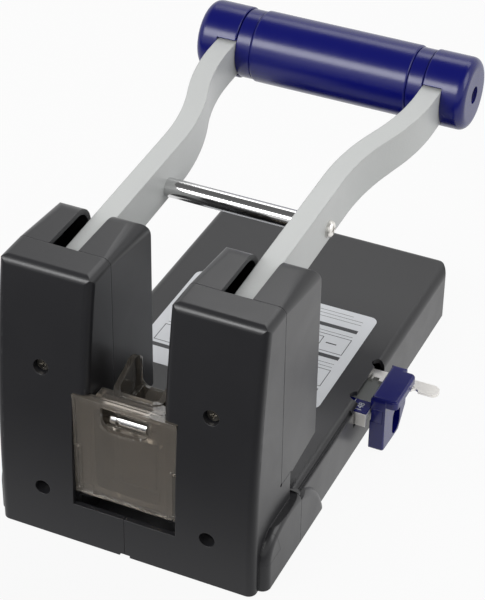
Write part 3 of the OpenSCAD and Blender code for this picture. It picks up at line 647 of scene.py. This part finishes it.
def pick(piece, what, wanted):
    """Open a piece and select the edges or corners that pass a test."""
    active_only(piece)
    bpy.ops.object.mode_set(mode="EDIT")
    bpy.ops.mesh.select_mode(type=what)
    bpy.ops.mesh.select_all(action="DESELECT")
    shell = bmesh.from_edit_mesh(piece.data)
    for part in (shell.edges if what == "EDGE" else shell.verts):
        part.select_set(wanted(part))
    bmesh.update_edit_mesh(piece.data)


def round_picked(piece, wanted, radius, segments):
    """Round the edges that pass a test, radius in millimetres."""
    pick(piece, "EDGE", wanted)
    bpy.ops.mesh.bevel(
        offset=radius * MM, segments=segments, affect="EDGES", clamp_overlap=False)
    bpy.ops.object.mode_set(mode="OBJECT")


def keeps_side(edge):
    """Whether both ends of an edge lie equally far to the right."""
    start, end = edge.verts
    return abs(start.co.x - end.co.x) < MM


print("reshaping helpers ready")

# %% [markdown]
# **The housings'** upper edges start with the rounding of the covers at the seam and get
# much rounder towards the front. The tool shape that takes the edges off is a block less a
# second block with two round edges. The far end of each rounding is scaled up about its own
# corner, so that it stays smooth with the two faces beside it.

# %% Rounder housings
TOWER_IN, TOWER_OUT, TOWER_TOP, SEAM_AT = 18.0, 62.8, 138.7, 28.0
FORM_FRONT, FORM_FOOT, HAIR = 80, 60, 0.02
SEAM_RADIUS, GROWS_TO, NEAR_CORNER = 3.8, 2.9, 5
SAWN_LOW, SAWN_HIGH = (16, SEAM_AT - 0.5, 110), (65, 70, 142)


def on_side(side, low, high):
    """A block on the right (1), or mirrored to the left (-1)."""
    reach = sorted((side * low[0], side * high[0]))
    return block_between((reach[0], *low[1:]), (reach[1], *high[1:]))


def round_the_housing(piece):
    """Take the two upper edges off a front housing, more at the front."""
    side = 1 if "right" in piece.name else -1
    inner, outer, upper = TOWER_IN - HAIR, TOWER_OUT + HAIR, TOWER_TOP + HAIR
    form = on_side(side, (inner, SEAM_AT, FORM_FOOT), (outer, FORM_FRONT, upper))
    roof = place(0, 0, upper).z
    round_picked(form, lambda edge: min(v.co.z for v in edge.verts) > roof - TOUCH
                 and keeps_side(edge), SEAM_RADIUS, segments=12)
    for corner_x in (inner, outer):
        corner = place(side * corner_x, FORM_FRONT, upper)
        pick(form, "VERT", lambda vertex: (vertex.co - corner).length < NEAR_CORNER * MM)
        bpy.ops.transform.resize(value=(GROWS_TO, 1, GROWS_TO), center_override=corner)
        bpy.ops.object.mode_set(mode="OBJECT")
    tool = on_side(side, SAWN_LOW, SAWN_HIGH)
    combine(tool, form, "DIFFERENCE")
    combine(piece, tool, "DIFFERENCE")


for side in ("left", "right"):
    softened("housing_" + side, "base", 0.15, segments=2, reshape=round_the_housing)

# %% [markdown]
# **The arms** are thick painted flat bars with a swan neck. The paint gathers on the edges,
# so they are round by most of a millimetre and draw a thin light line down each arm.

# %% Soft arms
for side in ("left", "right"):
    softened("arm_" + side, "lever", 0.9)

# %% [markdown]
# ** The two return springs** shorten as the punches go down. Each coil here is a copy with
# its edges barely rounded, shaded smoothly and given a mesh of its own.

# %% Springs
for side in ("left", "right"):
    coil = softened("spring_" + side, "base", 0.05, sharper_than=89)
    bpy.ops.object.shade_smooth()
    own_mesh(coil)

# %% [markdown]
# **The guide's knob** is a thick moulding that a finger hooks into. Its corners are well
# rounded, which is what makes it look soft to the touch. Its near side is closed, so that
# the end of the steel bar can't be seen: a small block with round edges sits in the opening.

# %% Soft knob
KNOB_FACE, KNOB_TOP, HEAD_BELOW, NEAR_PART = 77.5, 32.0, 27.5, 120.0
KNOB_RADIUS, IS_A_CORNER = 1.3, 0.6
CHEEK_LOW, CHEEK_HIGH = (70.5, 116.5, 17.5), (76.3, 118, 25.45)


def round_the_knob(piece):
    """Round the near edge of the knob's outer face and the outline of its head."""
    whole_faces()
    face, near, under = place(KNOB_FACE, NEAR_PART, HEAD_BELOW)
    roof = place(0, 0, KNOB_TOP).z
    for lies_there in (
            lambda spot: abs(spot.x - face) < TOUCH and spot.y < near and spot.z < under + TOUCH,
            lambda spot: abs(spot.z - roof) < TOUCH):
        round_picked(piece, lambda edge: all(lies_there(v.co) for v in edge.verts)
                     and edge.calc_face_angle(0) > IS_A_CORNER, KNOB_RADIUS, segments=6)


softened("guide_knob", "guide", 0.5, reshape=round_the_knob)
cheek = block_between(CHEEK_LOW, CHEEK_HIGH)
round_edges(cheek, radius=0.12, segments=3, sharper_than=30)
settle(cheek, "knob_cheek", "guide", "blue_plastic")

# %% [markdown]
# **The guide's bar** is a stamped steel plate with a folded edge. Its near corner is cut back
# to make room for the knob's cheek. The strip that runs on past the knob has a small stamped
# notch and a hole, and the stamped edges are broken by a hair, which gives them a bright
# line.

# %% Stamped bar
ROOM_LOW, ROOM_HIGH = (70.02, 109, 23), (78, 118.1, 27)
NOTCH_LOW, NOTCH_HIGH = (79.0, 137, 23), (80.4, 139, 27)
HOLE_AT, HOLE_RADIUS, HOLE_DEEP = (82.2, 140.4, 25), 0.7, 6


def stamp_bar(piece):
    """Cut the near corner back, and stamp a notch and a hole into the strip's near edge."""
    combine(piece, block_between(ROOM_LOW, ROOM_HIGH), "DIFFERENCE")
    combine(piece, block_between(NOTCH_LOW, NOTCH_HIGH), "DIFFERENCE")
    nothing_selected()
    bpy.ops.mesh.primitive_cylinder_add(
        vertices=20, radius=HOLE_RADIUS * MM, depth=HOLE_DEEP * MM, location=place(*HOLE_AT))
    combine(piece, bpy.context.object, "DIFFERENCE")


softened("guide_bar", "guide", 0.12, segments=2, reshape=stamp_bar)

# %% [markdown]
# **The storage door** is a thin clear plate. Its border stands proud by less than half a
# millimetre, all round and along the finger notch, and catches the light as a pale line.
# The field inside the border is pressed in with one tool shape: two blocks joined, less a
# block with rounded lower corners that keeps the border of the notch.

# %% Storage door
FIELD_LOW, FIELD_HIGH = (-23.6, 2.0, 55.6), (23.6, 2.95, 80.2)
FOOT_LOW, FOOT_HIGH = (-21.3, 2.0, 30.0), (21.3, 2.95, 57)
BORDER_LOW, BORDER_HIGH, BORDER_RADIUS = (-12.6, 1, 66.6), (12.6, 4, 90), 6.4


def press_panel(piece):
    """Press the door's field in, and leave a border."""
    field = block_between(FIELD_LOW, FIELD_HIGH)
    combine(field, block_between(FOOT_LOW, FOOT_HIGH), "UNION")
    notch = block_between(BORDER_LOW, BORDER_HIGH)
    lowest = place(*BORDER_LOW).z
    round_picked(notch, lambda edge: max(v.co.z for v in edge.verts) < lowest + TOUCH
                 and keeps_side(edge), BORDER_RADIUS, segments=6)
    combine(field, notch, "DIFFERENCE")
    combine(piece, field, "DIFFERENCE")


softened("storage_door", "door", 0.16, segments=2, reshape=press_panel)

# %% [markdown]
# ## The plate on the platform
# A pale vinyl plate is glued to the platform. It is ruled with dark bars, thin frames and
# plain sheets with two holes, which say nothing more than that paper goes here. The plate is
# a block as thin as vinyl, and its four short edges are rounded. The ink is a second piece
# that lies on it.

# %% Label plate
PLATFORM = 29.3
PLATE_LOW, PLATE_HIGH = (-49.5, 100, PLATFORM + 0.01), (49.5, 179, PLATFORM + 0.15)
PLATE_RADIUS = 4
label = block_between(PLATE_LOW, PLATE_HIGH)
round_picked(label, lambda edge: edge.calc_length() < MM, PLATE_RADIUS, segments=6)
finish("label_vinyl", (0.72, 0.735, 0.76), (0.42, 0.52), (0.68, 0.69, 0.70), wear_and_sheen=0.3,
       pebble=0.2, bump=0.004, round_edge=0.05, patch=25,
       shader={"Specular IOR Level": 0.3}, shade=0.03)
print("label:", len(label.data.vertices), "vertices")

# %% [markdown]
# The ink is many thin strips that become one piece. A piece of film is outside the record's
# slots. It is settled with plain plastic, which its own finish then replaces.

# %% Ink on the label
INK_FOOT, INK_TOP, FRAME_LINE = PLATFORM + 0.15, PLATFORM + 0.18, 0.35
COLUMNS, COLUMN_WIDE = (-44, 1.5), 42.5
BARS_AT, BAR_DEEP = (112.2, 139, 162.6), 2.7
FRAMES_AT = ((117, 130.5), (143.5, 157))
SHEET_LEFT, SHEET_RIGHT, SHEET_NEAR, SHEET_FAR = 15, 29, 3, 2.5
DASH_LEFT, DASH_RIGHT, DASH_HALF = 31.5, 37, 0.4
HOLES_AT, HOLE_HALF, HOLE_NEAR, HOLE_FAR = (19, 25), 0.9, 4.4, 6.2
LINES_AT, LINE_DEEP, LINE_INDENT = (132.6, 135.2, 159, 170, 172.6, 175.2), 0.25, 0.5
LAST_LINE_AFTER, LAST_LINE_SHORTER = 174, 6
finish("label_ink", (0.05, 0.052, 0.056), (0.42, 0.5), (0.09, 0.09, 0.09), wear_and_sheen=0.2,
       pebble=0.2, bump=0.003, round_edge=0.02, patch=25)


def inked(x0, y0, x1, y1):
    """A strip of ink between two corners of the drawing, in millimetres."""
    return block_between((x0, y0, INK_FOOT), (x1, y1, INK_TOP))


def inked_frame(x0, y0, x1, y1):
    """Four strips round a box."""
    left, near, right, far = x0 + FRAME_LINE, y0 + FRAME_LINE, x1 - FRAME_LINE, y1 - FRAME_LINE
    return [inked(x0, y0, x1, near), inked(x0, far, x1, y1),
            inked(x0, near, left, far), inked(right, near, x1, far)]


def joined(pieces):
    """One piece out of many."""
    nothing_selected()
    for piece in pieces:
        piece.select_set(True)
    bpy.context.view_layer.objects.active = pieces[0]
    bpy.ops.object.join()
    return bpy.context.object


def settle_film(piece, name, body, skin):
    """Settle a piece of film, which keeps its own finish."""
    settle(piece, name, body, "grey_plastic")
    piece.data.materials[0] = finishes[skin]


ink = []
for column in COLUMNS:
    end = column + COLUMN_WIDE
    ink += [inked(column, y, end, y + BAR_DEEP) for y in BARS_AT]
    for y0, y1 in FRAMES_AT:
        middle = (y0 + y1) / 2
        ink += inked_frame(column, y0, end, y1)
        ink += inked_frame(column + SHEET_LEFT, y0 + SHEET_NEAR,
                           column + SHEET_RIGHT, y1 - SHEET_FAR)
        ink.append(inked(column + DASH_LEFT, middle - DASH_HALF,
                         column + DASH_RIGHT, middle + DASH_HALF))
        ink += [inked(column + x - HOLE_HALF, y0 + HOLE_NEAR,
                      column + x + HOLE_HALF, y0 + HOLE_FAR) for x in HOLES_AT]
    for y in LINES_AT:
        shorter = LINE_INDENT + (LAST_LINE_SHORTER if y > LAST_LINE_AFTER else 0)
        ink.append(inked(column + LINE_INDENT, y, end - shorter, y + LINE_DEEP))
settle_film(label, "label_plate", "base", "label_vinyl")
settle_film(joined(ink), "label_print", "base", "label_ink")
print("ink strips:", len(ink))

# %% [markdown]
# ## Marks on the guide's scale
# The blue strip on the guide tells how far to pull it: the number beside a line is the
# length of the paper's edge in millimetres. A text object is made a mesh before its place is
# applied, and lies on the strip as a film of white ink.

# %% Scale marks
SCALE_TOP, FILM, OPENING_X, STOP_X = 25.7, 0.04, 65.5, 70.0
MARK_WIDE, MARK_NEAR, MARK_FAR = 0.35, 111.6, 120.2
FIGURE_TALL, FIGURES_BESIDE, FIGURES_AT = 4.2, 5.2, 112.1
finish("scale_ink", (0.62, 0.64, 0.68), (0.4, 0.5), (0.5, 0.52, 0.56), wear_and_sheen=0.3,
       pebble=0.2, bump=0.003, round_edge=0.02, patch=10)
marks = []
for paper_edge in (148, 210, 297):
    x = OPENING_X - (paper_edge / 2 - STOP_X)
    marks.append(block_between((x - MARK_WIDE / 2, MARK_NEAR, SCALE_TOP),
                               (x + MARK_WIDE / 2, MARK_FAR, SCALE_TOP + FILM)))
    nothing_selected()
    bpy.ops.object.text_add(location=place(x + FIGURES_BESIDE, FIGURES_AT, SCALE_TOP + FILM / 2),
                            rotation=(0, 0, math.pi / 2))
    number = bpy.context.object
    number.data.body = str(paper_edge)
    number.data.size, number.data.extrude = FIGURE_TALL * MM, FILM / 2 * MM
    bpy.ops.object.convert(target="MESH")
    marks.append(bpy.context.object)
scale_marks = joined(marks)
settle_film(scale_marks, "scale_marks", "guide", "scale_ink")
print("scale marks:", len(scale_marks.data.polygons), "faces")
